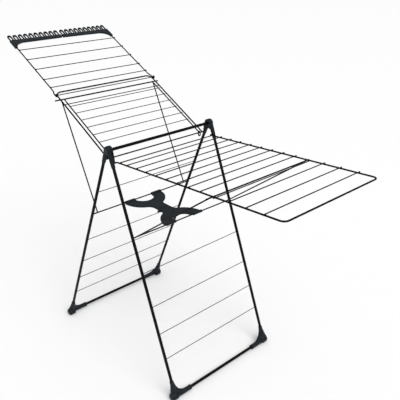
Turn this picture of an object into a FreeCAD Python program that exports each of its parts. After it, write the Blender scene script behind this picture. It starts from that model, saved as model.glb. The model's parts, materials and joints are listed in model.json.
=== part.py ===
import FreeCAD, Part
import math
import os

# A free-standing folding clothes airer, in millimetres, +Z up.
# Two leg frames meet at a top tube that runs along Y. A long flat wing is hinged to the right
# leg frame (+X); a shorter wing with a lifting inner shelf, and a hanger extension beyond it,
# is hinged to the left leg frame (-X). A wire strut props each wing, and a plastic spreader
# clips over the two strut crossbars to hold the legs apart.
# "near" is -Y and "far" is +Y. Lengths down a leg are measured from the hinge axis.

# ---- driving sizes ---------------------------------------------------------------------
frame_width = 550.0        # between the leg tubes' centre lines
leg_length = 1052.0        # down a leg, from the hinge axis to the bottom tube
leg_lean = 21.9            # degrees from upright
leg_gap = 8.2              # from the hinge axis to each leg's centre line
fold_travel = 40.0         # degrees that the right leg frame folds in
tube_radius = 6.0          # leg, bottom and top tubes
tube_wall = 1.0
leg_wires_up = (538.0, 392.0, 273.0, 163.0)     # up each leg from the bottom tube
leg_wire_upper = 223.0     # the left frame's fifth wire, down from the hinge axis
leg_wire = 1.3             # their radius

wing_pivot = 53.3          # down each leg
strut_pivot = 360.3        # down each leg
frame_rod = 2.75           # radius of the wing frames' rod
bar_rod = 2.5              # radius of the crossbars, top bars and the left pivot rod
arm_rod = 2.4              # radius of the strut arms
wire_radius = 1.8          # thin drying wires
overhang = 4.5             # wire ends past the rails
weld_sink = 0.25           # how far a welded wire sits into the rod under it

right_angle = 4.3          # degrees that the right wing rises
right_length = 842.0
right_half = 253.0         # half the spacing of its rails
right_corner = 20.0
stub_bend = 8.0
stub_past = 2.5            # rod ends inside the leg tubes
right_inner_bar = 27.5     # a thicker bar near the hinge
right_inner_radius = 2.0
right_inner_past = 3.5     # its ends past the rails
right_wires = (72.0, 130.0, 188.0, 246.0, 305.0, 363.0, 422.0, 482.0, 616.0, 690.0, 766.0)
right_catch = 529.0        # where the right strut's top bar meets the rails
right_stop_gap = 14.0      # from the catch to the stop wire
right_stop_past = 3.0

left_angle = 27.0
left_length = 417.0
left_half = 257.0
left_corner = 26.0
left_wires = (343.0,)      # under the rails: the shelf rests over it
left_catch = 377.0
shelf_length = 370.0
shelf_half = 240.0
shelf_corner = 8.0
shelf_rod = 2.4
shelf_wire = 1.5
shelf_wires = (90.0, 136.0, 183.0, 229.0, 274.0, 318.0)
shelf_wire_past = 3.5
eye_drop = 9.0             # how far the shelf's long eyes hang below the pivot rod
eye_clearance = 0.3

extension_pivot = 396.0    # along the left wing
extension_droop = 1.45     # degrees flatter than the left wing
extension_length = 405.0   # from its pivot to its end bar
extension_half = 257.3
extension_corner = 22.0
extension_wires = (56.0, 113.0, 187.0, 260.0, 333.0)
extension_rod = 2.4        # radius of its frame
ring_clearance = 0.2       # between the pivot wire and the extension's eyes
ring_gap = 0.65            # between an eye and the wing rail beside it
pivot_wire_past = 2.4      # the pivot wire's ends past the eyes
hook_open = 15.0           # degrees above the rail where an eye's tip stops
jog_start = 20.0
jog_end = 34.0
jog_bend = 20.0

strut_half_left = 248.6
strut_half_right = 260.0
strut_bar_left = 279.0     # half the top bar's length
strut_bar_right = 276.0
strut_gap = 0.05           # top bar below the rails

tooth_count = 10           # on each comb
tooth_wall = 4.2
tooth_length = 44.0        # from the end bar to a tooth's tip
tooth_gap = 6.7
tooth_thick = 6.0
tooth_lip = 9.0
comb_gap = 3.0             # from the middle to a comb
comb_outer = 265.0
comb_thick = 11.0
comb_back = 7.0            # body beyond the end bar
comb_front = 11.0          # body inside the end bar, at its outer end
comb_front_middle = 5.0
comb_skirt = 48.0          # how far the body runs down the rail
comb_skirt_width = 13.0
comb_sweep = 58.0          # width of the hollow curve beside the rail
comb_sweep_middle = (0.24, 0.27)    # where its middle lies, as shares of its width and height
tooth_sink = 2.0           # how far a tooth starts inside the body

sleeve_radius = 9.2        # hinge caps
knuckle_radius = 18.0
knuckle_thick = 9.4
fold_clearance = 0.3       # between the two arms when the legs are folded
knuckle_round = 5.0
layer_gap = 0.15           # each side of the joint between two cap halves
cap_arm_left = 66.0        # down the leg
cap_arm_right = 72.0
tube_top = 22.0            # where the leg tubes start, down the leg
cap_arm_top = 6.0
web_near = 9.8             # web plate, inward from the leg tubes' centre plane
web_far = 13.5
web_shoulder = 4.0         # above the hinge axis, where its sides start
web_low = 34.0             # its lower edge below the hinge axis, in the middle
web_side_low = 39.0        # and at its sides
web_side = 28.1
web_hole = 2.5
web_hole_low = 26.5
web_pad = (22.0, 44.0)     # down the leg: the block that joins the web to the left arm
web_pad_half = 5.5
web_pad_start = 1.0        # the block starts this far short of the web
top_tube_past = 6.0        # how far the top tube runs past the leg tubes' plane
running_fit = 0.05
knuckle_fit = 0.4          # round the other half's knuckle
pivot_fit = 0.3            # round the wings' rod ends

foot_radius = 17.5         # the rounded skid
foot_lift = 2.0            # its centre, up the leg from the corner
foot_shift = 4.0           # and in toward the other leg frame
foot_height = 16.0         # bottom tube's centre above the floor
foot_out = 20.5
foot_in = 13.0
foot_round_out = 9.0
foot_round_in = 5.0
foot_sleeve = 10.8         # radius along the bottom tube
foot_sleeve_length = 85.0
foot_leg_root = 11.0
foot_leg_tip = 8.6
foot_leg_length = 68.0
foot_web = 12.0
foot_web_side = 58.0
foot_web_edge = 9.0        # its width at each end
foot_web_middle = 25.0
foot_flare = 8.5           # outer side of the web, where it leaves the leg sleeve
foot_flare_top = 50.0
tube_inset = 14.0          # tube ends short of the corner

lock_inner = 48.0          # spreader
lock_outer = 102.0
lock_top = 1.0             # its plate above and below the crossbars' axes
lock_bottom = 8.0
lock_skin = 2.5            # the plate is hollow underneath
lock_waist = 30.0          # half the width of its middle
lock_blend = 18.0
lock_boss = 6.5
lock_fit = 0.35
lock_mouth = 2.2           # half the snap slot under the left crossbar
lock_release = 30.0        # degrees from straight down: how the right crossbar leaves its hook
lock_lip = 3.5             # how far the hook's outer lip reaches below the crossbar's axis
lock_hole = 3.0
lock_hole_pitch = 12.0
lock_tab = 14.0            # thumb tab on the near side
lock_tab_sides = (-6.0, 26.0)
lock_tab_thick = 4.0
lock_waist_end = 12.0      # the waist stops this far short of the round cut-outs
lock_tab_root = 2.0

past = 400.0               # cutting tools run this far past what they cut

# ---- worked out from them ----------------------------------------------------------------
lean = math.radians(leg_lean)
half_width = frame_width / 2
hinge_z = foot_height + leg_length * math.cos(lean) - leg_gap * math.sin(lean)
rod_end = half_width - tube_radius + tube_wall + stub_past
Y = FreeCAD.Vector(0, 1, 0)


def vec(x, y, z):
    return FreeCAD.Vector(x, y, z)


def leg_point(side, down, y, inward=0.0):
    """A point on a leg's centre line; side is -1 left, +1 right."""
    out = leg_gap - inward
    return vec(side * (out * math.cos(lean) + down * math.sin(lean)), y,
               hinge_z + out * math.sin(lean) - down * math.cos(lean))


class Panel:
    """A flat panel hinged along Y: along runs out from the hinge, up is off its face."""

    def __init__(self, side, origin, angle):
        turn = math.radians(angle)
        self.origin = vec(origin.x, 0, origin.z)
        self.out = vec(side * math.cos(turn), 0, math.sin(turn))
        self.normal = vec(-side * math.sin(turn), 0, math.cos(turn))

    def at(self, along, y, up=0.0):
        return self.origin + self.out * along + self.normal * up + Y * y


right_wing = Panel(1, leg_point(1, wing_pivot, 0), right_angle)
left_wing = Panel(-1, leg_point(-1, wing_pivot, 0), left_angle)
wire_rise = frame_rod + wire_radius - weld_sink     # a wing's wires above its rails
ring_radius = wire_radius + ring_clearance + extension_rod
ring_y = left_half + frame_rod + ring_gap + extension_rod
extension = Panel(-1, left_wing.at(extension_pivot, 0, wire_rise), left_angle - extension_droop)
comb_tip = extension_length + tooth_length
x_right = right_wing.at(right_length, 0).x + frame_rod
x_left = extension.at(comb_tip, 0, -ring_radius - tooth_lip / 2).x
origin_shift = vec(-(x_right + x_left) / 2, 0, 0)


# ---- shape helpers -----------------------------------------------------------------------
def cylinder(start, end, radius):
    line = end - start
    return Part.makeCylinder(radius, line.Length, start, line)


def fuse(shapes):
    shapes = list(shapes)
    return shapes[0].multiFuse(shapes[1:]).removeSplitter()


def bent_path(points, bends):
    """Lines through the points, with a bend radius at each inner point."""
    edges = []
    last = points[0]
    for before, corner, after, bend in zip(points, points[1:], points[2:], bends):
        arrive = (corner - before).normalize()
        leave = (after - corner).normalize()
        half_turn = arrive.getAngle(leave) / 2
        reach = bend * math.tan(half_turn)
        begin = corner - arrive * reach
        finish = corner + leave * reach
        inward = (leave - arrive).normalize()
        middle = corner + inward * (bend / math.cos(half_turn) - bend)
        if (begin - last).Length > 1e-6:
            edges.append(Part.makeLine(last, begin))
        edges.append(Part.Arc(begin, middle, finish).toShape())
        last = finish
    edges.append(Part.makeLine(last, points[-1]))
    return edges


def swept(edges, radius):
    """A round rod along joined edges."""
    begin = edges[0].FirstParameter
    section = Part.makeCircle(radius, edges[0].valueAt(begin), edges[0].tangentAt(begin))
    sweep = Part.BRepOffsetAPI.MakePipeShell(Part.Wire(edges))
    sweep.add(Part.Wire([section]))
    sweep.build()
    sweep.makeSolid()
    return sweep.shape()


def bent_rod(points, bends, radius):
    return swept(bent_path(points, bends), radius)


def cross_wires(panel, places, half, up, radius=wire_radius, ends=overhang):
    return [cylinder(panel.at(place, -half - ends, up), panel.at(place, half + ends, up), radius)
            for place in places]


def group(shapes):
    return Part.makeCompound([solid for shape in shapes for solid in shape.Solids])


def half_space(point, direction):
    """A block that fills the side of a plane that direction points to."""
    block = Part.makeBox(past, past, past, vec(-past / 2, -past / 2, 0))
    block.Placement = FreeCAD.Placement(point, FreeCAD.Rotation(vec(0, 0, 1), direction))
    return block


def plate(outline, toward, thickness):
    return Part.Face(outline).extrude(toward * thickness)


def rims(disc, y):
    """The round edges of a disc about Y that lie at this y."""
    return [edge for edge in disc.Edges
            if edge.Closed and len(edge.Vertexes) == 1 and abs(edge.CenterOfMass.y - y) < 0.01]


# ---- legs ----------------------------------------------------------------------------------
def leg_tube(side, end, holes):
    y = end * half_width
    top = leg_point(side, tube_top, y)
    bottom = leg_point(side, leg_length - tube_inset, y)
    tube = cylinder(top, bottom, tube_radius).cut(cylinder(top, bottom, tube_radius - tube_wall))
    for down, radius in holes:
        inner = leg_point(side, down, end * (half_width - tube_radius - 1))
        tube = tube.cut(cylinder(inner, leg_point(side, down, y), radius + running_fit))
    return tube


def bottom_tube(side):
    ends = [leg_point(side, leg_length, end * (half_width - tube_inset)) for end in (-1, 1)]
    return cylinder(ends[0], ends[1], tube_radius).cut(
        cylinder(ends[0], ends[1], tube_radius - tube_wall))


def leg_wire_set(side, places):
    """Wires welded to the inner side of a leg frame."""
    inward = tube_radius + leg_wire - weld_sink
    reach = half_width + tube_radius
    tubes = [cylinder(leg_point(side, tube_top, end * half_width),
                      leg_point(side, leg_length - tube_inset, end * half_width), tube_radius)
             for end in (-1, 1)]
    wires = [cylinder(leg_point(side, down, -reach, inward), leg_point(side, down, reach, inward),
                      leg_wire).cut(tubes[0]).cut(tubes[1]) for down in places]
    return group(wires)


def foot(side, end):
    """A corner socket: a round skid, a sleeve on each tube and a flared web between them."""
    y = end * half_width
    corner = leg_point(side, leg_length, y)
    up_leg = (leg_point(side, 0, y) - leg_point(side, 1, y)).normalize()
    inner = Y * -end
    across = up_leg.cross(inner).normalize()

    inward = (leg_point(side, 0, y, 1) - leg_point(side, 0, y)).normalize()
    centre = corner + up_leg * foot_lift + inward * foot_shift
    skid = cylinder(centre + inner * foot_in, centre - inner * foot_out, foot_radius)
    skid = skid.makeFillet(foot_round_out, rims(skid, end * (half_width + foot_out)))
    skid = skid.makeFillet(foot_round_in, rims(skid, end * (half_width - foot_in)))

    bar_sleeve = cylinder(corner, corner + inner * foot_sleeve_length, foot_sleeve)
    leg_sleeve = Part.makeCone(foot_leg_root, foot_leg_tip, foot_leg_length, corner, up_leg)
    low = corner - across * (foot_web / 2)
    points = [low + inner * u + up_leg * v for u, v in (
        (-foot_out + foot_round_in, 0), (foot_web_side, 0), (foot_web_side, foot_web_edge),
        (foot_web_middle, foot_web_middle), (foot_web_edge, foot_web_side),
        (-foot_flare, foot_flare_top), (-foot_out, foot_round_in))]
    hollow = Part.Arc(points[2], points[3], points[4]).toShape()
    outline = Part.Wire([Part.makeLine(points[0], points[1]), Part.makeLine(points[1], points[2]),
                         hollow, Part.makeLine(points[4], points[5]),
                         Part.makeLine(points[5], points[6]), Part.makeLine(points[6], points[0])])
    body = fuse([skid, bar_sleeve, leg_sleeve, plate(outline, across, foot_web)])
    body = body.cut(half_space(vec(corner.x, corner.y, 0), vec(0, 0, -1)))
    body = body.cut(cylinder(corner + up_leg * tube_inset, corner + up_leg * past, tube_radius))
    return body.cut(cylinder(corner + inner * tube_inset, corner + inner * past, tube_radius))


# ---- hinge caps ------------------------------------------------------------------------------
outer_layer = (-layer_gap, -layer_gap - knuckle_thick)
inner_layer = (layer_gap, layer_gap + knuckle_thick)


def layer(span, radius):
    """A disc about the hinge axis between two distances inward from the near leg tubes' plane."""
    start, finish = span
    return cylinder(vec(0, start - half_width, hinge_z), vec(0, finish - half_width, hinge_z),
                    radius)


def mirrored(near_shape, end):
    return near_shape if end < 0 else near_shape.mirror(vec(0, 0, 0), Y)


def cap_half(side):
    """A half of the near hinge cap. The left half has the outer knuckle and the web plate."""
    left = side < 0
    y = -half_width
    own, other = (outer_layer, inner_layer) if left else (inner_layer, outer_layer)
    arm = cap_arm_left if left else cap_arm_right
    sleeve = cylinder(leg_point(side, cap_arm_top, y), leg_point(side, arm, y), sleeve_radius)
    tilt = math.radians(fold_travel / 2)
    away = vec(-side * math.cos(tilt), 0, -math.sin(tilt))
    sleeve = sleeve.cut(half_space(vec(0, y, hinge_z) - away * fold_clearance, away))
    sleeve = sleeve.cut(layer((0.0, other[1] * 2), knuckle_radius + knuckle_fit))
    knuckle = layer(own, knuckle_radius)
    pieces = [sleeve, knuckle]
    if left:
        knuckle = knuckle.makeFillet(knuckle_round, rims(knuckle, y + own[1]))
        pieces = [sleeve, knuckle, cap_web(), web_block(side)]
    body = fuse(pieces)
    body = body.cut(cylinder(leg_point(side, tube_top, y), leg_point(side, past, y), tube_radius))
    pivot_hole = (bar_rod if left else frame_rod) + pivot_fit
    body = body.cut(cylinder(leg_point(side, wing_pivot, y), leg_point(side, wing_pivot, 0),
                             pivot_hole))
    bore = tube_radius if left else tube_radius + running_fit
    return body.cut(layer((-top_tube_past, half_width), bore))


def web_block(side):
    """Joins the web plate to the sleeve."""
    y = web_near + web_pad_start - half_width
    top, bottom = web_pad
    corners = [leg_point(side, down, y, across)
               for down, across in ((top, -web_pad_half), (bottom, -web_pad_half),
                                    (bottom, web_pad_half), (top, web_pad_half))]
    return plate(Part.makePolygon(corners + corners[:1]), -Y, web_near - tube_radius / 2)


def cap_web():
    """The plate that closes the space between the two arms, inside the frame."""
    start = web_near - half_width
    reach = [vec(x, start, hinge_z + z) for x, z in (
        (-knuckle_radius, web_shoulder), (-web_side, -web_side_low), (0, -web_low),
        (web_side, -web_side_low), (knuckle_radius, web_shoulder), (0, knuckle_radius))]
    outline = Part.Wire([
        Part.makeLine(reach[0], reach[1]), Part.Arc(reach[1], reach[2], reach[3]).toShape(),
        Part.makeLine(reach[3], reach[4]), Part.Arc(reach[4], reach[5], reach[0]).toShape()])
    web = plate(outline, Y, web_far - web_near)
    middle = vec(0, 0, hinge_z - web_hole_low)
    return web.cut(cylinder(middle - Y * frame_width, middle + Y * frame_width, web_hole))


def top_tube():
    ends = [vec(0, end * (half_width + top_tube_past), hinge_z) for end in (-1, 1)]
    return cylinder(ends[0], ends[1], tube_radius).cut(
        cylinder(ends[0], ends[1], tube_radius - tube_wall))


# ---- wings and struts ------------------------------------------------------------------------
def right_wing_frame():
    points = [right_wing.at(0, -rod_end), right_wing.at(0, -right_half),
              right_wing.at(right_length, -right_half), right_wing.at(right_length, right_half),
              right_wing.at(0, right_half), right_wing.at(0, rod_end)]
    return bent_rod(points, (stub_bend, right_corner, right_corner, stub_bend), frame_rod)


def u_frame(panel, start, length, half, corner, radius, up=0.0):
    points = [panel.at(start, -half, up), panel.at(length, -half, up),
              panel.at(length, half, up), panel.at(start, half, up)]
    return bent_rod(points, (corner, corner), radius)


def strut(side, panel, catch, half, bar_half, name):
    """Crossbar in the legs, two arms and a top bar under the wing's rails."""
    low = leg_point(side, strut_pivot, 0)
    high = panel.at(catch, 0, -(frame_rod + bar_rod + strut_gap))
    crossbar = cylinder(low - Y * rod_end, low + Y * rod_end, bar_rod)
    top_bar = cylinder(high - Y * bar_half, high + Y * bar_half, bar_rod)
    arms = [cylinder(low + Y * (end * half), high + Y * (end * half), arm_rod)
            .cut(crossbar).cut(top_bar) for end in (-1, 1)]
    return {name + "_crossbar": crossbar, name + "_arms": group(arms), name + "_top_bar": top_bar}


def long_eye(panel, y):
    """A long wire loop that hangs on the pivot rod, below the panel."""
    radius = bar_rod + eye_clearance + shelf_rod
    centre = panel.at(0, y)
    low = centre - vec(0, 0, eye_drop)
    side = vec(radius, 0, 0)
    return swept([
        Part.Arc(centre - side, centre + vec(0, 0, radius), centre + side).toShape(),
        Part.makeLine(centre + side, low + side),
        Part.Arc(low + side, low - vec(0, 0, radius), low - side).toShape(),
        Part.makeLine(low - side, centre - side)], shelf_rod)


def shelf_frame():
    start = bar_rod + eye_clearance + shelf_rod
    rails = u_frame(left_wing, start, shelf_length, shelf_half, shelf_corner, shelf_rod)
    return fuse([rails] + [long_eye(left_wing, end * shelf_half) for end in (-1, 1)])


# ---- hanger extension ------------------------------------------------------------------------
def eye_point(end, degrees):
    turn = math.radians(degrees)
    return extension.at(ring_radius * math.cos(turn), end * ring_y, ring_radius * math.sin(turn))


def extension_frame():
    """One rod: each end is hooked up round the pivot wire."""
    sides = []
    hooks = []
    for end in (-1, 1):
        sides.append([extension.at(0, end * ring_y, -ring_radius),
                      extension.at(jog_start, end * ring_y, -ring_radius),
                      extension.at(jog_end, end * extension_half, -ring_radius),
                      extension.at(extension_length, end * extension_half, -ring_radius)])
        hooks.append([eye_point(end, hook_open), eye_point(end, (hook_open + 270.0) / 2),
                      eye_point(end, 270.0)])
    bends = (jog_bend, jog_bend, extension_corner, extension_corner, jog_bend, jog_bend)
    return swept([Part.Arc(*hooks[0]).toShape()] + bent_path(sides[0] + sides[1][::-1], bends)
                 + [Part.Arc(*hooks[1][::-1]).toShape()], extension_rod)


def comb(end, frame):
    """A hanger comb: a body moulded round the end bar and one corner, with looped teeth."""
    low = -ring_radius - comb_thick / 2

    def spot(across, along, up=low):
        return extension.at(extension_length + along, end * across, up)

    front = -comb_front
    corner = comb_outer - comb_skirt_width
    share = comb_sweep_middle
    outline = Part.Wire([
        Part.makeLine(spot(comb_gap, -comb_front_middle), spot(comb_gap, comb_back)),
        Part.makeLine(spot(comb_gap, comb_back), spot(comb_outer, comb_back)),
        Part.makeLine(spot(comb_outer, comb_back), spot(comb_outer, -comb_skirt)),
        Part.makeLine(spot(comb_outer, -comb_skirt), spot(corner, -comb_skirt)),
        Part.Arc(spot(corner, -comb_skirt),
                 spot(corner - share[0] * comb_sweep, front - share[1] * (comb_skirt - comb_front)),
                 spot(corner - comb_sweep, front)).toShape(),
        Part.makeLine(spot(corner - comb_sweep, front), spot(comb_gap, -comb_front_middle))])
    body = plate(outline, extension.normal, comb_thick)
    pitch = (comb_outer - comb_gap) / tooth_count
    teeth = [tooth(end, comb_gap + pitch * (count + 0.5), pitch) for count in range(tooth_count)]
    return fuse([body] + teeth).cut(frame)


def tooth(end, middle, pitch):
    """One looped tooth: two legs joined by a thicker rounded tip."""
    radius = (pitch - tooth_gap) / 2
    inside = radius - tooth_wall
    centre = comb_tip - radius
    low = -ring_radius - tooth_thick / 2
    foot_line = extension_length + comb_back - tooth_sink
    legs = []
    for edge in (-1, 1):
        start = middle + edge * (radius - tooth_wall / 2) - tooth_wall / 2
        corners = [extension.at(foot_line, end * start, low),
                   extension.at(centre, end * start, low),
                   extension.at(centre, end * (start + tooth_wall), low),
                   extension.at(foot_line, end * (start + tooth_wall), low)]
        legs.append(plate(Part.makePolygon(corners + corners[:1]), extension.normal, tooth_thick))
    low_lip = -ring_radius - tooth_lip / 2
    hub = extension.at(centre, end * middle, low_lip)
    ring = Part.makeCylinder(radius, tooth_lip, hub, extension.normal)
    ring = ring.cut(Part.makeCylinder(inside, tooth_lip, hub, extension.normal))
    ring = ring.cut(half_space(hub, extension.out * -1))
    return fuse(legs + [ring])


# ---- spreader --------------------------------------------------------------------------------
def lock_outline(inset, low, high):
    """The spreader's plan, drawn in by an inset, between two heights."""
    bar = leg_point(1, strut_pivot, 0).x
    up = vec(0, 0, 1)
    ends = []
    for sign in (-1, 1):
        centre = vec(sign * bar, 0, low)
        disc = Part.makeCylinder(lock_outer - inset, high - low, centre, up)
        disc = disc.cut(Part.makeCylinder(lock_inner + inset, high - low, centre, up))
        ends.append(disc.cut(half_space(centre, vec(sign, 0, 0))))
    reach = bar - lock_inner - lock_waist_end
    waist = lock_waist - inset
    middle = Part.makeBox(2 * reach, 2 * waist, high - low, vec(-reach, -waist, low))
    body = fuse(ends + [middle])
    corners = [edge for edge in body.Edges if abs(edge.BoundBox.ZLength - high + low) < 1e-6
               and abs(abs(edge.CenterOfMass.y) - waist) < 1e-3]
    return body.makeFillet(lock_blend + inset, corners)


def spreader():
    """Two C-shaped ends and a waist, hollow underneath, with round bosses over the crossbars."""
    left = leg_point(-1, strut_pivot, 0)
    right = leg_point(1, strut_pivot, 0)
    base = left.z - lock_bottom
    top = left.z + lock_top
    hollow = lock_outline(lock_skin, base - 1, top - lock_skin)
    for bar in (left, right):
        hollow = hollow.cut(cylinder(bar - Y * past, bar + Y * past, lock_boss + lock_skin))
    for end in (-1, 1):
        pad = vec(0, end * lock_hole_pitch, base - 1)
        hollow = hollow.cut(Part.makeCylinder(lock_hole + lock_skin, past, pad, vec(0, 0, 1)))
    body = [lock_outline(0.0, base, top).cut(hollow), thumb_tab(base)]
    for bar in (left, right):
        for end in (-1, 1):
            body.append(cylinder(vec(bar.x, end * lock_inner, bar.z),
                                 vec(bar.x, end * lock_outer, bar.z), lock_boss))
    body = fuse(body)
    bore = bar_rod + lock_fit
    for bar in (left, right):
        body = body.cut(cylinder(bar - Y * past, bar + Y * past, bore))
    depth = 3 * lock_bottom
    snap = Part.makeBox(2 * lock_mouth, past, depth,
                        vec(left.x - lock_mouth, -past / 2, left.z - depth))
    way_out = Part.makeBox(2 * bore, past, depth, vec(-bore, -past / 2, -depth))
    way_out.Placement = FreeCAD.Placement(right, FreeCAD.Rotation(Y, lock_release))
    under_lip = Part.makeBox(depth, past, depth,
                             vec(right.x - bore, -past / 2, right.z - lock_lip - depth))
    body = body.cut(snap).cut(way_out).cut(under_lip)
    for end in (-1, 1):
        hole = vec(0, end * lock_hole_pitch, base - 1)
        body = body.cut(Part.makeCylinder(lock_hole, past, hole, vec(0, 0, 1)))
    return body


def thumb_tab(base):
    start, finish = lock_tab_sides
    root = lock_tab_root - lock_waist
    points = [vec(start, root, base), vec(finish, root, base),
              vec(finish, -lock_waist - lock_tab, base)]
    return plate(Part.makePolygon(points + points[:1]), vec(0, 0, 1), lock_tab_thick)


# ---- the whole airer -------------------------------------------------------------------------
def build():
    parts = {"top_tube": top_tube()}
    holes_left = ((wing_pivot, bar_rod), (strut_pivot, bar_rod))
    holes_right = ((wing_pivot, frame_rod), (strut_pivot, bar_rod))
    lower_wires = [leg_length - up for up in leg_wires_up]
    for side, name, holes, wires in ((-1, "left", holes_left, [leg_wire_upper] + lower_wires),
                                     (1, "right", holes_right, lower_wires)):
        for end, place in ((-1, "near"), (1, "far")):
            parts[name + "_leg_tube_" + place] = leg_tube(side, end, holes)
            parts[name + "_foot_" + place] = foot(side, end)
            parts[name + "_hinge_cap_" + place] = mirrored(cap_half(side), end)
        parts[name + "_bottom_tube"] = bottom_tube(side)
        parts[name + "_leg_wires"] = leg_wire_set(side, wires)

    frame = right_wing_frame()
    parts["right_wing_frame"] = frame
    bar = cross_wires(right_wing, (right_inner_bar,), right_half,
                      frame_rod + right_inner_radius - weld_sink, right_inner_radius, right_inner_past)
    parts["right_wing_inner_bar"] = bar[0].cut(frame)
    wires = cross_wires(right_wing, right_wires, right_half, wire_rise)
    parts["right_wing_wires"] = group([wire.cut(frame) for wire in wires])
    stop = cross_wires(right_wing, (right_catch + right_stop_gap,), right_half, -wire_rise,
                       ends=right_stop_past)
    parts["right_wing_stop_wire"] = stop[0].cut(frame)
    parts.update(strut(1, right_wing, right_catch, strut_half_right, strut_bar_right,
                       "right_strut"))

    pivot_rod = cylinder(left_wing.at(0, -rod_end), left_wing.at(0, rod_end), bar_rod)
    parts["left_wing_pivot_rod"] = pivot_rod
    frame = u_frame(left_wing, 0, left_length, left_half, left_corner, frame_rod).cut(pivot_rod)
    parts["left_wing_frame"] = frame
    wires = cross_wires(left_wing, left_wires, left_half, -wire_rise)
    parts["left_wing_wire"] = wires[0].cut(frame)
    reach = ring_y + extension_rod + pivot_wire_past
    hinge_wire = cylinder(left_wing.at(extension_pivot, -reach, wire_rise),
                          left_wing.at(extension_pivot, reach, wire_rise), wire_radius)
    parts["extension_pivot_wire"] = hinge_wire.cut(frame)
    parts.update(strut(-1, left_wing, left_catch, strut_half_left, strut_bar_left, "left_strut"))

    frame = shelf_frame()
    parts["shelf_frame"] = frame
    wires = cross_wires(left_wing, shelf_wires, shelf_half, shelf_rod + shelf_wire - weld_sink,
                        shelf_wire, shelf_wire_past)
    parts["shelf_wires"] = group([wire.cut(frame) for wire in wires])

    frame = extension_frame()
    parts["extension_frame"] = frame
    wires = cross_wires(extension, extension_wires, extension_half,
                        extension_rod + wire_radius - weld_sink - ring_radius)
    parts["extension_wires"] = group([wire.cut(frame) for wire in wires])
    for end, place in ((-1, "near"), (1, "far")):
        parts["hanger_comb_" + place] = comb(end, frame)

    parts["spreader"] = spreader()
    return parts


os.makedirs("parts", exist_ok=True)
for node, shape in build().items():
    shape.translate(origin_shift)
    shape.exportStep("parts/" + node + ".step")
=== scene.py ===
import json
import math

import bpy
import numpy as np
from mathutils import Matrix, Vector


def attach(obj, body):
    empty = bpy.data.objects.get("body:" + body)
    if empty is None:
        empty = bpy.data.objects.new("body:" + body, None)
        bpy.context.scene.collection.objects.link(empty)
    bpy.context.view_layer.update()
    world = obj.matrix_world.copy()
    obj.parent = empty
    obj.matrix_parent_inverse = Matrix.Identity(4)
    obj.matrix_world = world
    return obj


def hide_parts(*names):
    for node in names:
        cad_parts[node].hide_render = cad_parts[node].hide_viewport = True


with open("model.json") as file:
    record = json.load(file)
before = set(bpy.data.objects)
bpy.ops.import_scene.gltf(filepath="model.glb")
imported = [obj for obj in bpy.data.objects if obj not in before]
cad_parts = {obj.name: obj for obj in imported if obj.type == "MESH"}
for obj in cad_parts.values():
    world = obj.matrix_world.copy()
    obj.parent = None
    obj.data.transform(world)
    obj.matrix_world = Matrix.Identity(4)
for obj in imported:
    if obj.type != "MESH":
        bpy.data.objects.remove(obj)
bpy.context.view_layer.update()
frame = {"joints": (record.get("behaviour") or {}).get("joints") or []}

# A free-standing folding clothes airer. Sizes are in millimetres until a mesh is made.
# "near" is -Y and "far" is +Y; side is -1 for the left leg frame and +1 for the right one.
# Places come from the joints; sections, bends and mouldings have the sizes below.
METRE = 0.001

COAT = 0.35              # paint or plastic over the bare steel
TUBE = 6.0 + COAT        # radii, down to EXTENSION_ROD
FRAME_ROD = 2.85 + COAT
BAR_ROD = 2.5 + COAT
ARM_ROD = 2.4 + COAT
WIRE = 1.9
RIGHT_WIRE = 2.1
LEG_WIRE = 1.5
INNER_BAR = 2.0 + COAT
SHELF_ROD = 2.4 + COAT
SHELF_WIRE = 1.6
EXTENSION_ROD = 2.4 + COAT
WELD_SINK = 0.25         # how far a welded wire sits into the rod under it
OVERHANG = 4.5           # wire ends past the rails
SHORT_OVERHANG = 3.5
ROD_FIT = 0.35           # clearance round a rod in a moulding
PIVOT_FIT = 0.3          # and inside the shelf's long eyes

HALF_WIDTH = 275.0
LEG_LENGTH = 1052.0
WING_PIVOT = 53.3        # down each leg from the hinge axis
TUBE_TOP = 22.0
TUBE_INSET = 14.0
LEG_WIRES = {-1: (223.0, 514.0, 660.0, 779.0, 889.0), 1: (514.0, 660.0, 779.0, 889.0)}
LEG_WIRE_IN = 7.05       # their centres, inward from the leg tubes'
LEG_WIRE_PAST = 3.0
TOP_TUBE_PAST = 6.0

RIGHT_ANGLE = 4.3
RIGHT_LENGTH = 842.0
RIGHT_HALF = 253.0
RIGHT_BENDS = (8.0, 20.0, 20.0, 8.0)
RIGHT_WIRES = (72.0, 130.0, 188.0, 246.0, 305.0, 363.0, 422.0, 482.0, 616.0, 690.0, 766.0)
RIGHT_INNER_BAR = 27.5
RIGHT_CATCH = 529.0
RIGHT_STOP = 543.0
LEFT_ANGLE = 27.0
LEFT_LENGTH = 417.0
LEFT_HALF = 257.0
LEFT_CORNER = 26.0
LEFT_START = 1.5
LEFT_WIRE = 343.0
LEFT_CATCH = 377.0
SHELF_LENGTH = 370.0
SHELF_HALF = 240.0
SHELF_CORNER = 8.0
SHELF_WIRES = (90.0, 136.0, 183.0, 229.0, 274.0, 318.0)
EYE_DROP = 9.0
EXTENSION_PIVOT = 396.0
EXTENSION_ANGLE = 25.55
EXTENSION_LENGTH = 405.0
EXTENSION_HALF = 257.3
EXTENSION_BENDS = (20.0, 20.0, 22.0, 22.0, 20.0, 20.0)
EXTENSION_JOG = (20.0, 34.0)
EXTENSION_WIRES = (56.0, 113.0, 187.0, 260.0, 333.0)
RING = WIRE + 0.2 + EXTENSION_ROD        # the hooked ends round their pivot wire
RING_Y = LEFT_HALF + FRAME_ROD + 0.65 + EXTENSION_ROD
RING_PAST = 2.4
HOOK_TIP = 15.0                          # degrees
HOOK_END = 270.0
ARM_HALF = {-1: 248.6, 1: 260.0}
TOP_BAR_HALF = {-1: 279.0, 1: 276.0}
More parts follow.
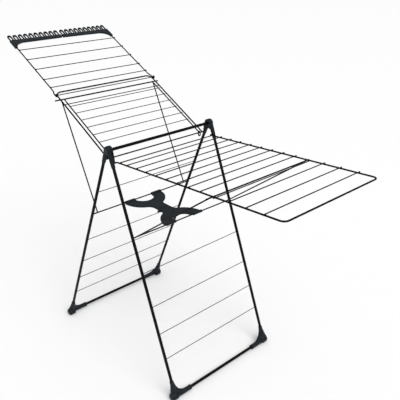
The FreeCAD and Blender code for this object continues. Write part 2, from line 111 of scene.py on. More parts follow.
ROD_END = 272.5

TOOTH_COUNT = 10
TOOTH_LENGTH = 44.0
TOOTH_GAP = 6.3
TOOTH_WALL = 4.9
COMB_GAP = 3.0
COMB_OUTER = 265.0
COMB_BACK = 7.0
COMB_SKIRT = 48.0
COMB_SKIRT_WIDTH = 13.0
COMB_SWEEP = 58.0        # the hollow curve beside the rail
COMB_FRONT = (9.0, 11.5)
COMB_HALF_THICK = 5.5
TOOTH_HALF_THICK = 3.0


# ---- places ------------------------------------------------------------------------------
def joint_at(name):
    spot = next(joint for joint in frame["joints"] if joint["name"] == name)["pos_m"]
    return Vector(spot) / METRE


HINGE = joint_at("leg_fold")
WING_AT = {-1: joint_at("left_wing_fold"), 1: joint_at("right_wing_fold")}
STRUT_AT = {-1: joint_at("left_strut_fold"), 1: joint_at("right_strut_fold")}
LEG_DOWN = {side: (STRUT_AT[side] - WING_AT[side]).normalized() for side in (-1, 1)}
LEG_IN = {side: LEG_DOWN[side].cross(Vector((0, -side, 0))) for side in (-1, 1)}
Y = Vector((0, 1, 0))


def on_leg(side, down, y=0.0, inward=0.0):
    """A point on a leg's centre line, measured down the leg from the hinge axis."""
    return WING_AT[side] + LEG_DOWN[side] * (down - WING_PIVOT) + LEG_IN[side] * inward + Y * y


class Panel:
    """A flat panel hinged along Y: along runs out from the hinge and up is off its face."""

    def __init__(self, side, origin, degrees):
        turn = math.radians(degrees)
        self.origin = origin
        self.out = Vector((side * math.cos(turn), 0, math.sin(turn)))
        self.normal = Vector((-side * math.sin(turn), 0, math.cos(turn)))

    def at(self, along, y, up=0.0):
        return self.origin + self.out * along + Y * y + self.normal * up


right_wing = Panel(1, WING_AT[1], RIGHT_ANGLE)
left_wing = Panel(-1, WING_AT[-1], LEFT_ANGLE)
extension = Panel(-1, joint_at("extension_flip"), EXTENSION_ANGLE)
WIRE_RISE = FRAME_ROD + WIRE - WELD_SINK


# ---- materials ---------------------------------------------------------------------------
def material(name, color, roughness, shine, grain, grain_depth, mottle):
    """Dark moulded or coated surface: fine grain in the bump, slow mottling in the roughness."""
    made = bpy.data.materials.new(name)
    made.use_nodes = True
    nodes = made.node_tree.nodes
    link = made.node_tree.links.new
    shader = nodes["Principled BSDF"]
    shader.inputs["Specular IOR Level"].default_value = shine
    place = nodes.new("ShaderNodeTexCoord")

    cloud = nodes.new("ShaderNodeTexNoise")
    cloud.inputs["Scale"].default_value = mottle
    cloud.inputs["Detail"].default_value = 6.0
    cloud.inputs["Roughness"].default_value = 0.6
    link(place.outputs["Object"], cloud.inputs["Vector"])

    tone = nodes.new("ShaderNodeValToRGB")
    tone.color_ramp.elements[0].position = 0.3
    tone.color_ramp.elements[1].position = 0.72
    tone.color_ramp.elements[0].color = (*[part * 0.8 for part in color], 1)
    tone.color_ramp.elements[1].color = (*[part * 1.3 for part in color], 1)
    link(cloud.outputs["Fac"], tone.inputs["Fac"])
    link(tone.outputs["Color"], shader.inputs["Base Color"])

    gloss = nodes.new("ShaderNodeMapRange")
    gloss.inputs["To Min"].default_value = roughness - 0.08
    gloss.inputs["To Max"].default_value = roughness + 0.12
    link(cloud.outputs["Fac"], gloss.inputs["Value"])
    link(gloss.outputs["Result"], shader.inputs["Roughness"])

    pits = nodes.new("ShaderNodeTexVoronoi")
    pits.feature = "SMOOTH_F1"
    pits.inputs["Scale"].default_value = grain
    link(place.outputs["Object"], pits.inputs["Vector"])
    fine = nodes.new("ShaderNodeTexNoise")
    fine.inputs["Scale"].default_value = grain * 0.6
    fine.inputs["Detail"].default_value = 3.0
    link(place.outputs["Object"], fine.inputs["Vector"])
    both = nodes.new("ShaderNodeMath")
    both.operation = "ADD"
    link(pits.outputs["Distance"], both.inputs[0])
    link(fine.outputs["Fac"], both.inputs[1])
    bump = nodes.new("ShaderNodeBump")
    bump.inputs["Strength"].default_value = 0.35
    bump.inputs["Distance"].default_value = grain_depth
    link(both.outputs["Value"], bump.inputs["Height"])
    link(bump.outputs["Normal"], shader.inputs["Normal"])
    return made


ENAMEL = material("black_enamel", (0.0016, 0.0018, 0.0022), 0.34, 0.10, 700.0, 0.00012, 9.0)
COATING = material("black_wire_coat", (0.0012, 0.0013, 0.0015), 0.38, 0.06, 900.0, 0.00008, 14.0)
PLASTIC = material("slate_plastic", (0.0085, 0.0125, 0.0165), 0.38, 0.16, 1500.0, 0.00010, 22.0)
SLOTS = {"black_enamel": ENAMEL, "black_wire": COATING, "dark_plastic": PLASTIC}


# ---- making pieces -----------------------------------------------------------------------
class Shape:
    """Vertices in millimetres and faces, gathered into one mesh."""

    def __init__(self):
        self.points = []
        self.faces = []

    def add(self, points, faces):
        base = len(self.points)
        self.points.extend(tuple(point) for point in points)
        self.faces.extend([tuple(base + index for index in face) for face in faces])
        return self


def piece(node, body, shape, slot, creased=False):
    """Makes the mesh that stands for a CAD node and rides on its body."""
    mesh = bpy.data.meshes.new(node + "_skin")
    points = [[value * METRE for value in point] for point in shape.points]
    mesh.from_pydata(points, [], shape.faces)
    mesh.validate()
    mesh.materials.append(SLOTS[slot])
    mesh.shade_smooth()
    if creased:
        mesh.set_sharp_from_angle(angle=math.radians(40))
    made = bpy.data.objects.new(node + "_skin", mesh)
    bpy.context.scene.collection.objects.link(made)
    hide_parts(node)
    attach(made, body)


def route(points, bends, step=9.0):
    """A path through the points with a round bend at each inner one, as close points."""
    path = [points[0].copy()]
    for before, corner, after, bend in zip(points, points[1:], points[2:], bends):
        arrive = (corner - before).normalized()
        leave = (after - corner).normalized()
        half = arrive.angle(leave) / 2
        begin = corner - arrive * bend * math.tan(half)
        centre = corner + (leave - arrive).normalized() * bend / math.cos(half)
        axis = arrive.cross(leave).normalized()
        count = max(2, math.ceil(math.degrees(2 * half) / step))
        for index in range(count + 1):
            turn = Matrix.Rotation(2 * half * index / count, 3, axis)
            path.append(centre + turn @ (begin - centre))
    path.append(points[-1].copy())
    return path


def rod(shape, path, radius, sides=20, closed=False, dome=True):
    """Sweeps a round section along a path. Open ends get a small rounded edge."""
    path = [path[0]] + [b for a, b in zip(path, path[1:]) if (b - a).length > 1e-4]
    count = len(path)
    tangents = []
    for index in range(count):
        before = path[index - 1] if index or closed else path[0]
        after = path[(index + 1) % count] if index < count - 1 or closed else path[-1]
        tangents.append((after - before).normalized())
    side = tangents[0].orthogonal().normalized()
    rings = []
    for index in range(count):
        side = (side - tangents[index] * side.dot(tangents[index])).normalized()
        rings.append((path[index], tangents[index], side.copy(), radius))
    if not closed:
        edge = radius * (0.45 if dome else 0.12)
        head, tail = rings[0], rings[-1]
        start = [(head[0] + head[1] * (edge - edge * math.cos(a)), head[1], head[2],
                  radius - edge + edge * math.sin(a)) for a in (0.0, 0.5, 1.0)]
        finish = [(tail[0] - tail[1] * (edge - edge * math.cos(a)), tail[1], tail[2],
                   radius - edge + edge * math.sin(a)) for a in (1.0, 0.5, 0.0)]
        rings = start + [(head[0] + head[1] * edge, *head[1:])] + rings[1:-1] \
            + [(tail[0] - tail[1] * edge, *tail[1:])] + finish
    points = []
    for centre, tangent, across, size in rings:
        other = tangent.cross(across)
        for index in range(sides):
            turn = 2 * math.pi * index / sides
            points.append(centre + (across * math.cos(turn) + other * math.sin(turn)) * size)
    faces = []
    spans = len(rings) if closed else len(rings) - 1
    for ring in range(spans):
        low = ring * sides
        high = (ring + 1) % len(rings) * sides
        for index in range(sides):
            nxt = (index + 1) % sides
            faces.append((low + index, low + nxt, high + nxt, high + index))
    if not closed:
        faces.append(tuple(range(sides))[::-1])
        faces.append(tuple(range((len(rings) - 1) * sides, len(rings) * sides)))
    return shape.add(points, faces)


def straight(shape, start, end, radius, sides=20, dome=True):
    return rod(shape, [start, start.lerp(end, 0.5), end], radius, sides, dome=dome)


def weld(shape, centre, along, across, long=2.6, wide=2.2, deep=1.5):
    """A small rounded bead where one rod is welded over another."""
    third = along.cross(across).normalized()
    rows, cols = 7, 12
    points = [centre + third * deep]
    for row in range(1, rows):
        tilt = math.pi * row / rows
        for col in range(cols):
            turn = 2 * math.pi * col / cols
            points.append(centre + along * (long * math.sin(tilt) * math.cos(turn))
                          + across * (wide * math.sin(tilt) * math.sin(turn))
                          + third * (deep * math.cos(tilt)))
    points.append(centre - third * deep)
    last = len(points) - 1
    faces = []
    for col in range(cols):
        nxt = (col + 1) % cols
        faces.append((0, 1 + col, 1 + nxt))
        for row in range(rows - 2):
            low = 1 + row * cols
            faces.append((low + col, low + cols + col, low + cols + nxt, low + nxt))
        faces.append((last, last - cols + nxt, last - cols + col))
    return shape.add(points, faces)


# ---- moulded plastic: a distance field turned into a smooth skin -------------------------
def soft_max(a, b, blend):
    mix = np.clip(0.5 - 0.5 * (b - a) / blend, 0, 1)
    return b + (a - b) * mix + blend * mix * (1 - mix)


def soft_min(a, b, blend):
    return -soft_max(-a, -b, blend)


def slab(value, low, high):
    return np.abs(value - (low + high) / 2) - (high - low) / 2


def rounded(first, second, edge):
    """The overlap of two fields, with a rounded edge."""
    a = first + edge
    b = second + edge
    return np.minimum(np.maximum(a, b), 0) + np.hypot(np.maximum(a, 0), np.maximum(b, 0)) - edge


def mould(field, low, high, step):
    """Surface nets: a point in each crossed cell, pulled onto the surface, a quad per edge."""
    low = np.array(low, float)
    counts = np.ceil((np.array(high) - low) / step).astype(int) + 1
    axes = [low[k] + step * np.arange(counts[k]) for k in range(3)]
    value = field(*np.meshgrid(*axes, indexing="ij"))
    inside = value < 0
    corners = [(i, j, k) for i in (0, 1) for j in (0, 1) for k in (0, 1)]
    size = counts - 1

    def shifted(array, corner):
        return array[tuple(slice(corner[k], corner[k] + size[k]) for k in range(3))]

    total = sum(shifted(inside, corner).astype(int) for corner in corners)
    crossed = (total > 0) & (total < 8)
    cells = np.argwhere(crossed)
    number = -np.ones(size, int)
    number[crossed] = np.arange(len(cells))
    place = np.zeros((len(cells), 3))
    hits = np.zeros(len(cells))
    for a in corners:
        for axis in range(3):
            if a[axis]:
                continue
            b = tuple(a[k] + (k == axis) for k in range(3))
            va = shifted(value, a)[crossed]
            vb = shifted(value, b)[crossed]
            cut = (va < 0) != (vb < 0)
            share = np.where(cut, va / np.where(cut, va - vb, 1), 0)
            spot = np.array(a, float) + np.outer(share, np.eye(3)[axis])
            place[cut] += spot[cut]
            hits[cut] += 1
    points = low + step * (cells + place / hits[:, None])
    for _ in range(3):
        near = [points + np.eye(3)[k] * step * 0.1 for k in range(3)]
        here = field(*points.T)
        slope = np.stack([(field(*near[k].T) - here) / (step * 0.1) for k in range(3)], 1)
        size_of = np.maximum((slope ** 2).sum(1), 0.25)
        move = np.clip(-here / size_of, -0.4 * step, 0.4 * step)
        points = points + slope * move[:, None]
    faces = []
    for axis in range(3):
        one, two = [k for k in range(3) if k != axis]
        if axis == 1:
            one, two = two, one
        reach = [slice(1, counts[k] - 1) for k in range(3)]
        reach[axis] = slice(0, counts[axis] - 1)
        ahead = list(reach)
        ahead[axis] = slice(1, counts[axis])
        here, there = inside[tuple(reach)], inside[tuple(ahead)]
        start = [reach[k].start for k in range(3)]
        for wanted, flip in ((here & ~there, False), (~here & there, True)):
            spot = np.argwhere(wanted) + start
            steps = ((0, 0), (-1, 0), (-1, -1), (0, -1))
            ring = []
            for first, second in steps:
                cell = spot.copy()
                cell[:, one] += first
                cell[:, two] += second
                ring.append(number[tuple(cell.T)])
            quad = np.stack(ring[::-1] if flip else ring, 1)
            faces.append(quad)
    return points, np.concatenate(faces).tolist()


def placed(points, origin, u, v, w):
    """Local mould points to the airer's frame."""
    basis = np.array([u, v, w])
    return np.array(origin) + points @ basis


# ---- feet --------------------------------------------------------------------------------
FOOT_RADIUS = 17.5
FOOT_LIFT = 2.0
FOOT_SHIFT = 4.0
FOOT_HEIGHT = 16.0
FOOT_OUT = 20.5
FOOT_IN = 13.0
FOOT_SLEEVE = 10.8
FOOT_SLEEVE_LENGTH = 84.9
FOOT_LEG_ROOT = 11.0
FOOT_LEG_TAPER = 2.6
FOOT_LEG_LENGTH = 68.0
FOOT_WEB = 6.0           # half its thickness
FOOT_WEB_SIDE = 58.0
FOOT_HOLLOW = 64.6       # centre and radius of the web's hollow side
FOOT_HOLLOW_RADIUS = 56.0
FOOT_FLARE = (-8.5, 50.0)
SOCKET_FIT = 0.25


def foot_field(up_rise, across_rise, lean):
    """u runs along the bottom tube, v up the leg, w across both."""
    flare_u, flare_v = FOOT_FLARE

    def field(u, v, w):
        skid = np.hypot(v - FOOT_LIFT, w - FOOT_SHIFT * lean) - FOOT_RADIUS
        knob = np.maximum(rounded(skid, -u - FOOT_OUT, 9.0), rounded(skid, u - FOOT_IN, 4.5))
        groove = np.hypot(skid, u + 9.0) - 0.9
        bar = rounded(np.hypot(v, w) - FOOT_SLEEVE + 0.5, slab(u, -5, 85), 1.2)
        bar_collar = rounded(np.hypot(v, w) - FOOT_SLEEVE, slab(u, 77, FOOT_SLEEVE_LENGTH), 1.5)
        taper = FOOT_LEG_TAPER * np.clip(v, 0, FOOT_LEG_LENGTH) / FOOT_LEG_LENGTH
        leg = rounded(np.hypot(u, w) - FOOT_LEG_ROOT + taper, slab(v, -5, FOOT_LEG_LENGTH), 1.2)
        leg_collar = rounded(np.hypot(u, w) - 8.9, slab(v, 62, 68.2), 1.4)
        arc = FOOT_HOLLOW_RADIUS - np.hypot(u - FOOT_HOLLOW, v - FOOT_HOLLOW)
        flare = (v - flare_v) * 0.258 - (u - flare_u) * 0.966
        crown = (v - flare_v) * 0.910 - (u - flare_u) * 0.416
        plan = np.maximum(np.maximum(arc, flare), np.maximum(crown, -v))
        plan = np.maximum(plan, u - FOOT_WEB_SIDE)
        web = rounded(plan, np.abs(w) - FOOT_WEB + 1.6, 1.0)
        edge = np.maximum(plan, -np.maximum(arc, flare) - 3.4)
        edge = rounded(edge, np.abs(w) - FOOT_WEB, 1.3)
        whole = soft_min(soft_min(bar, leg, 4.0), np.minimum(web, edge), 2.5)
        whole = soft_min(whole, soft_min(bar_collar, leg_collar, 0.5), 1.0)
        whole = soft_min(whole, knob, 4.0)
        whole = soft_max(whole, -groove, 0.6)
        for along, off in ((u, v), (v, u)):
            socket = np.maximum(np.hypot(off, w) - TUBE - SOCKET_FIT, TUBE_INSET - along)
            whole = soft_max(whole, -socket, 0.4)
        floor = -(FOOT_HEIGHT + v * up_rise + w * across_rise)
        return soft_max(whole, floor, 0.5)

    return field


def foot(side, end):
    corner = on_leg(side, LEG_LENGTH, end * HALF_WIDTH)
    up = -LEG_DOWN[side]
    inner = -end * Y
    across = up.cross(inner).normalized()
    field = foot_field(up.z, across.z, LEG_IN[side].dot(across))
    points, faces = mould(field, (-23, -19, -24), (88, 72, 24), 1.0)
    points = placed(points, corner, inner, up, across)
    points[:, 2] = np.maximum(points[:, 2], 0.0)
    if inner.cross(up).dot(across) < 0:
        faces = [face[::-1] for face in faces]
    return Shape().add(points, faces)


# ---- hinge caps --------------------------------------------------------------------------
KNUCKLE = 18.0
LAYER = 0.15
THICK = 9.4
FOLD_TRAVEL = 40.0
CAP_SLEEVE = 9.2
CAP_TAPER = 1.1
CAP_TOP = 6.0
CAP_ARM = {-1: 66.0, 1: 72.0}
WEB_ARCH = 82.5          # radius of the web's lower edge
WEB_LOW = {-1: 38.0, 1: 22.0}
WEB_NEAR = 9.8
WEB_FAR = 13.0
WEB_HOLE = 2.5
WEB_HOLE_UP = 7.5        # its centre above the lower edge


def cap_field(side, web_low):
    """x and z from the hinge axis, s inward from the leg tubes' plane."""
    left = side < 0
    down = LEG_DOWN[side]
    inward = LEG_IN[side]
    line = WING_AT[side] - down * WING_PIVOT - HINGE
    tilt = math.radians(FOLD_TRAVEL / 2)
    arm = CAP_ARM[side]
    own = (-LAYER - THICK, -LAYER) if left else (LAYER, LAYER + THICK)
    other = (0.0, 22.0) if left else (-22.0, 0.0)

    def field(x, s, z):
        along = (x - line.x) * down.x + (z - line.z) * down.z
        across = (x - line.x) * inward.x + (z - line.z) * inward.z
        from_leg = np.hypot(across, s)
        radius = np.hypot(x, z)
        taper = CAP_TAPER * np.clip((along - 38) / (arm - 38), 0, 1)
        sleeve = rounded(from_leg - CAP_SLEEVE + taper, slab(along, CAP_TOP, arm), 1.3)
        apart = -side * math.cos(tilt) * x - math.sin(tilt) * z
        sleeve = soft_max(sleeve, apart + 0.5, 0.6)
        gone = np.maximum(radius - KNUCKLE - 0.5, slab(s, *other))
        sleeve = soft_max(sleeve, -gone, 0.4)
        disc = rounded(radius - KNUCKLE, slab(s, *own), 0.7)
        if left:
            dome = np.hypot(np.maximum(radius - KNUCKLE + 6, 0), np.maximum(-s - THICK + 6, 0)) - 6
            disc = soft_max(disc, dome, 0.5)
            groove = np.hypot(radius - 11.5, s + LAYER + THICK) - 0.9
            disc = soft_max(disc, -groove, 0.5)
        whole = soft_min(sleeve, disc, 2.5)
        if left:
            whole = soft_min(whole, web_field(x, s, z, along, across, web_low), 1.5)
        whole = soft_max(whole, -np.maximum(from_leg - TUBE - 0.2, TUBE_TOP - 0.5 - along), 0.4)
        pivot = np.hypot(along - WING_PIVOT, across) - (BAR_ROD if left else FRAME_ROD) - ROD_FIT
        whole = soft_max(whole, -np.maximum(pivot, -s), 0.4)
        bore = TUBE + (0.05 if left else 0.2)
        axle = np.maximum(radius - bore, -6.0 - s)
        return soft_max(whole, -axle, 0.3)

    return field


def web_field(x, s, z, along, across, low):
    """The plate between the two arms, with a rim along its lower edge and a hole."""
    slant = (np.abs(x) - KNUCKLE - (4.0 - z) * 10.1 / 43.0) * 0.973
    arch = WEB_ARCH - np.hypot(x, z + low + WEB_ARCH)
    crown = np.hypot(x, z) - KNUCKLE - 40 * (z < 4)
    plan = np.maximum(np.maximum(slant, arch), crown)
    plate = rounded(plan, slab(s, WEB_NEAR, WEB_FAR), 0.6)
    rim = rounded(np.maximum(plan, -(plan + 2.4)), slab(s, WEB_NEAR, WEB_FAR + 0.5), 0.7)
    pad = rounded(np.maximum(slab(along, 22, 44), np.abs(across) - 5.5), slab(s, 4.0, 11.0), 0.8)
    hole = np.hypot(x, z + low - WEB_HOLE_UP) - WEB_HOLE
    return soft_max(soft_min(np.minimum(plate, rim), pad, 1.0), -hole, 0.5)


def cap_half(side, end):
    points, faces = mould(cap_field(side, WEB_LOW[end]), (-46, -11, -84), (46, 15, 20), 0.9)
    origin = HINGE + Y * (end * HALF_WIDTH)
    points = placed(points, origin, Vector((1, 0, 0)), Y * -end, Vector((0, 0, 1)))
    if end > 0:
        faces = [face[::-1] for face in faces]
    return Shape().add(points, faces)


# ---- hanger combs ------------------------------------------------------------------------
def comb_field(a, y, n):
    """a runs outward from the end bar, y from the middle to the side, n off the panel."""
    skirt_edge = COMB_OUTER - COMB_SKIRT_WIDTH
    inner, outer = COMB_FRONT
    front = inner + (outer - inner) * np.clip(y / (skirt_edge - COMB_SWEEP), 0, 1)
    band = np.maximum(slab(y, COMB_GAP, COMB_OUTER), slab(a, -front, COMB_BACK))
    skirt = np.maximum(slab(y, skirt_edge, COMB_OUTER), slab(a, -COMB_SKIRT, COMB_BACK))
    hollow = np.hypot((y - skirt_edge + COMB_SWEEP) / COMB_SWEEP,
                      (a + COMB_SKIRT) / (COMB_SKIRT - 11.0))
    corner = np.maximum(slab(y, skirt_edge - COMB_SWEEP, skirt_edge), slab(a, -COMB_SKIRT, 0))
    corner = np.maximum(corner, (1 - hollow) * 30.0)
    plan = np.minimum(np.minimum(band, skirt), corner)
    body = rounded(plan, np.abs(n) - COMB_HALF_THICK, 1.8)
    sunk = np.maximum(plan + 4.5, 4.9 - n)
    body = soft_max(body, -sunk, 0.6)

    pitch = (COMB_OUTER - COMB_GAP) / TOOTH_COUNT
    radius = (pitch - TOOTH_GAP) / 2
    across = np.mod(y - COMB_GAP, pitch) - pitch / 2
    across = np.where((y < COMB_GAP) | (y > COMB_OUTER), pitch, across)
    centre = TOOTH_LENGTH - radius
    wall = np.abs(np.where(a < centre, np.abs(across), np.hypot(across, a - centre))
                  - radius + TOOTH_WALL / 2) - TOOTH_WALL / 2
    rise = np.clip((a - centre + 3) / 8.0, 0, 1)
    thick = TOOTH_HALF_THICK + 1.5 * rise
    tooth = rounded(np.maximum(wall, slab(a, 4, 60)), np.abs(n) - thick, 1.1)
    return soft_min(body, tooth, 1.6)


def comb(end):
    points, faces = mould(comb_field, (-50, 1, -8), (47, 267, 8), 1.0)
    origin = extension.at(EXTENSION_LENGTH, 0, -RING)
    points = placed(points, origin, extension.out, Y * end, extension.normal)
    if extension.out.cross(Y * end).dot(extension.normal) < 0:
        faces = [face[::-1] for face in faces]
    return Shape().add(points, faces)


# ---- spreader ----------------------------------------------------------------------------
LOCK_INNER = 48.0
LOCK_OUTER = 102.0
LOCK_WAIST = 30.0
LOCK_TOP = 1.0
LOCK_BOTTOM = 8.0
LOCK_BOSS = 6.5
LOCK_SKIN = 2.6
LOCK_HOLE = 3.0
LOCK_HOLE_PITCH = 12.0
LOCK_TAB = 14.0
LOCK_TAB_THICK = 4.0
LOCK_MOUTH = 2.2
LOCK_RELEASE = 30.0      # degrees
LOCK_LIP = 3.5


def lock_field(x, y, z):
    """x from the middle, z from the crossbars' axes."""
    bar = STRUT_AT[1].x - HINGE.x
    out = bar - np.abs(x)
    ring = np.hypot(out, y)
    post = np.hypot(x, np.abs(y) - LOCK_HOLE_PITCH)
    ends = np.maximum(np.abs(ring - (LOCK_INNER + LOCK_OUTER) / 2)
                      - (LOCK_OUTER - LOCK_INNER) / 2, -out)
    waist = np.maximum(np.abs(y) - LOCK_WAIST, np.abs(x) - bar + LOCK_INNER + 12)
    plan = soft_min(ends, waist, 22.0)
    plan = np.maximum(plan, LOCK_INNER - ring)
    tab_edge = (np.abs(x - 16) - 11 + (-y - LOCK_WAIST) * 0.55) * 0.9
    tab = np.maximum(tab_edge, slab(y, -LOCK_WAIST - LOCK_TAB, 0))
    body = rounded(plan, slab(z, -LOCK_BOTTOM, LOCK_TOP), 2.2)
    tab = rounded(tab, slab(z, -LOCK_BOTTOM, -LOCK_BOTTOM + LOCK_TAB_THICK), 1.0)
    body = soft_min(body, tab, 2.0)
    sunk = np.maximum(np.maximum(plan, LOCK_INNER + 9 - ring) + 5.0, LOCK_TOP - 1.5 - z)
    body = soft_max(body, -np.maximum(sunk, 7.5 - post), 0.5)
    under = np.maximum(plan + LOCK_SKIN, z - LOCK_TOP + 3.4)
    under = np.maximum(under, LOCK_BOSS + 2.5 - np.hypot(out, z))
    under = np.maximum(under, LOCK_HOLE + LOCK_SKIN - post)
    rib = np.minimum(np.abs(y) - 0.9, np.abs(np.abs(x) - 34.0) - 0.9)
    rib = np.minimum(rib, np.abs(np.mod(np.arctan2(y, out) * 12 / math.pi, 2) - 1)
                     * ring * math.pi / 12 - 0.9)
    under = soft_max(under, -rib, 0.8)
    body = soft_max(body, -under, 0.6)
    boss = rounded(np.hypot(out, z) - LOCK_BOSS, slab(np.abs(y), LOCK_INNER, LOCK_OUTER), 1.2)
    body = soft_min(body, boss, 3.0)
    body = soft_max(body, LOCK_HOLE - post, 0.8)
    bore = np.hypot(out, z) - BAR_ROD - ROD_FIT
    body = soft_max(body, -bore, 0.4)
    snap = np.maximum(np.abs(x + bar) - LOCK_MOUTH, z)
    lean = math.radians(LOCK_RELEASE)
    to_bar = x - bar
    way = np.abs(to_bar * math.cos(lean) - z * math.sin(lean)) - BAR_ROD - ROD_FIT
    way = np.maximum(way, to_bar * math.sin(lean) + z * math.cos(lean))
    lip = np.maximum(-(to_bar + BAR_ROD), z + LOCK_LIP)
    for cut in (snap, way, lip):
        body = soft_max(body, -cut, 0.5)
    return body


def spreader():
    half = STRUT_AT[1].x - HINGE.x
    points, faces = mould(lock_field, (-half - 9, -105, -11), (half + 9, 105, 9), 1.1)
    origin = Vector((HINGE.x, 0, STRUT_AT[1].z))
    return Shape().add(placed(points, origin, Vector((1, 0, 0)), Y, Vector((0, 0, 1))), faces)


# ---- tubes and rods ----------------------------------------------------------------------
def cross_wires(panel, places, half, up, radius, past=OVERHANG):
    """Welded wires across a panel, with a bead over each rail."""
    shape = Shape()
    beyond = up / abs(up) if up else 0.0
    for place in places:
        straight(shape, panel.at(place, -half - past, up), panel.at(place, half + past, up),
                 radius, 16)
        for end in (-1, 1):
            weld(shape, panel.at(place, end * half, up - beyond * radius * 0.9), Y, panel.out,
                 radius * 1.9, radius * 1.5, radius * 0.55)
    return shape


def leg_tube(side, end):
    y = end * HALF_WIDTH
    return straight(Shape(), on_leg(side, TUBE_TOP, y), on_leg(side, LEG_LENGTH - TUBE_INSET, y),
                    TUBE, 48, dome=False)


def bottom_tube(side):
    ends = [on_leg(side, LEG_LENGTH, end * (HALF_WIDTH - TUBE_INSET)) for end in (-1, 1)]
    return straight(Shape(), *ends, TUBE, 48, dome=False)


def leg_wires(side):
    shape = Shape()
    reach = HALF_WIDTH + LEG_WIRE_PAST
    for down in LEG_WIRES[side]:
        straight(shape, on_leg(side, down, -reach, LEG_WIRE_IN),
                 on_leg(side, down, reach, LEG_WIRE_IN), LEG_WIRE, 14)
        for end in (-1, 1):
            weld(shape, on_leg(side, down, end * HALF_WIDTH, TUBE + 0.1), Y, LEG_DOWN[side],
                 3.2, 2.1, 0.9)
    return shape


def u_rod(panel, start, length, half, corner, radius):
    corners = [panel.at(start, -half), panel.at(length, -half),
               panel.at(length, half), panel.at(start, half)]
    return rod(Shape(), route(corners, (corner, corner)), radius, 24)


def right_wing_rod():
    corners = [right_wing.at(0, -ROD_END), right_wing.at(0, -RIGHT_HALF),
               right_wing.at(RIGHT_LENGTH, -RIGHT_HALF), right_wing.at(RIGHT_LENGTH, RIGHT_HALF),
               right_wing.at(0, RIGHT_HALF), right_wing.at(0, ROD_END)]
    return rod(Shape(), route(corners, RIGHT_BENDS), FRAME_ROD, 24)


def long_eye(shape, y):
    """The shelf's long loop round the pivot rod."""
    radius = BAR_ROD + PIVOT_FIT + SHELF_ROD
    centre = left_wing.at(0, y)
    path = []
    for index in range(24):
        turn = 2 * math.pi * index / 24
        drop = EYE_DROP if math.sin(turn) < -1e-6 else 0.0
        path.append(centre + Vector((radius * math.cos(turn), 0, radius * math.sin(turn) - drop)))
    return rod(shape, path, SHELF_ROD, 18, closed=True)


def shelf_rod():
    start = BAR_ROD + PIVOT_FIT + SHELF_ROD
    shape = u_rod(left_wing, start, SHELF_LENGTH, SHELF_HALF, SHELF_CORNER, SHELF_ROD)
    for end in (-1, 1):
        long_eye(shape, end * SHELF_HALF)
        weld(shape, left_wing.at(start + 1, end * SHELF_HALF), left_wing.out, Y, 3.4, 2.9, 2.9)
    return shape


def curl(end):
    """The rod's end, hooked up round the pivot wire."""
    points = []
    last = 33
    for index in range(last + 1):
        turn = math.radians(HOOK_TIP + (HOOK_END - HOOK_TIP) * index / last)
        points.append(extension.at(RING * math.cos(turn), end * RING_Y, RING * math.sin(turn)))
    return points


def extension_rod():
    sides = []
    for end in (-1, 1):
        sides.append([extension.at(2.0, end * RING_Y, -RING),
                      extension.at(EXTENSION_JOG[0], end * RING_Y, -RING),
                      extension.at(EXTENSION_JOG[1], end * EXTENSION_HALF, -RING),
                      extension.at(EXTENSION_LENGTH, end * EXTENSION_HALF, -RING)])
    path = route(sides[0] + sides[1][::-1], EXTENSION_BENDS)
    return rod(Shape(), curl(-1) + path + curl(1)[::-1], EXTENSION_ROD, 20)


def strut(side, panel, catch):
    """Crossbar, arms and top bar of a strut, with beads where the arms are welded."""
    low = STRUT_AT[side]
    high = panel.at(catch, 0, -(FRAME_ROD + BAR_ROD + 0.05))
    way = (high - low).normalized()
    reach = TOP_BAR_HALF[side]
    crossbar = straight(Shape(), low - Y * ROD_END, low + Y * ROD_END, BAR_ROD, 24)
    top_bar = straight(Shape(), high - Y * reach, high + Y * reach, BAR_ROD, 24)
    arms = Shape()
    for end in (-1, 1):
        y = Y * (end * ARM_HALF[side])
        straight(arms, low + y + way * 1.2, high + y - way * 1.2, ARM_ROD, 24)
        weld(arms, low + y + way * 2.6, Y, way, 3.4, 2.0, 2.9)
        weld(arms, high + y - way * 2.6, Y, way, 3.4, 2.0, 2.9)
    return crossbar, arms, top_bar


# ---- the airer ---------------------------------------------------------------------------
LEGS = {-1: ("left", "left_leg_frame"), 1: ("right", "right_leg_frame")}
for side, (name, body) in LEGS.items():
    for end, place in ((-1, "near"), (1, "far")):
        piece(f"{name}_leg_tube_{place}", body, leg_tube(side, end), "black_enamel", True)
        piece(f"{name}_foot_{place}", body, foot(side, end), "dark_plastic")
        piece(f"{name}_hinge_cap_{place}", body, cap_half(side, end), "dark_plastic")
    piece(f"{name}_bottom_tube", body, bottom_tube(side), "black_enamel", True)
    piece(f"{name}_leg_wires", body, leg_wires(side), "black_wire")

top_ends = [HINGE + Y * (end * (HALF_WIDTH + TOP_TUBE_PAST)) for end in (-1, 1)]
piece("top_tube", "left_leg_frame", straight(Shape(), *top_ends, TUBE, 48, dome=False),
      "black_enamel", True)

piece("right_wing_frame", "right_wing", right_wing_rod(), "black_wire")
piece("right_wing_inner_bar", "right_wing",
      cross_wires(right_wing, (RIGHT_INNER_BAR,), RIGHT_HALF, FRAME_ROD + INNER_BAR - WELD_SINK,
                  INNER_BAR, SHORT_OVERHANG), "black_wire")
piece("right_wing_wires", "right_wing",
      cross_wires(right_wing, RIGHT_WIRES, RIGHT_HALF, WIRE_RISE, RIGHT_WIRE), "black_wire")
piece("right_wing_stop_wire", "right_wing",
      cross_wires(right_wing, (RIGHT_STOP,), RIGHT_HALF, -WIRE_RISE, WIRE, 3.0), "black_wire")

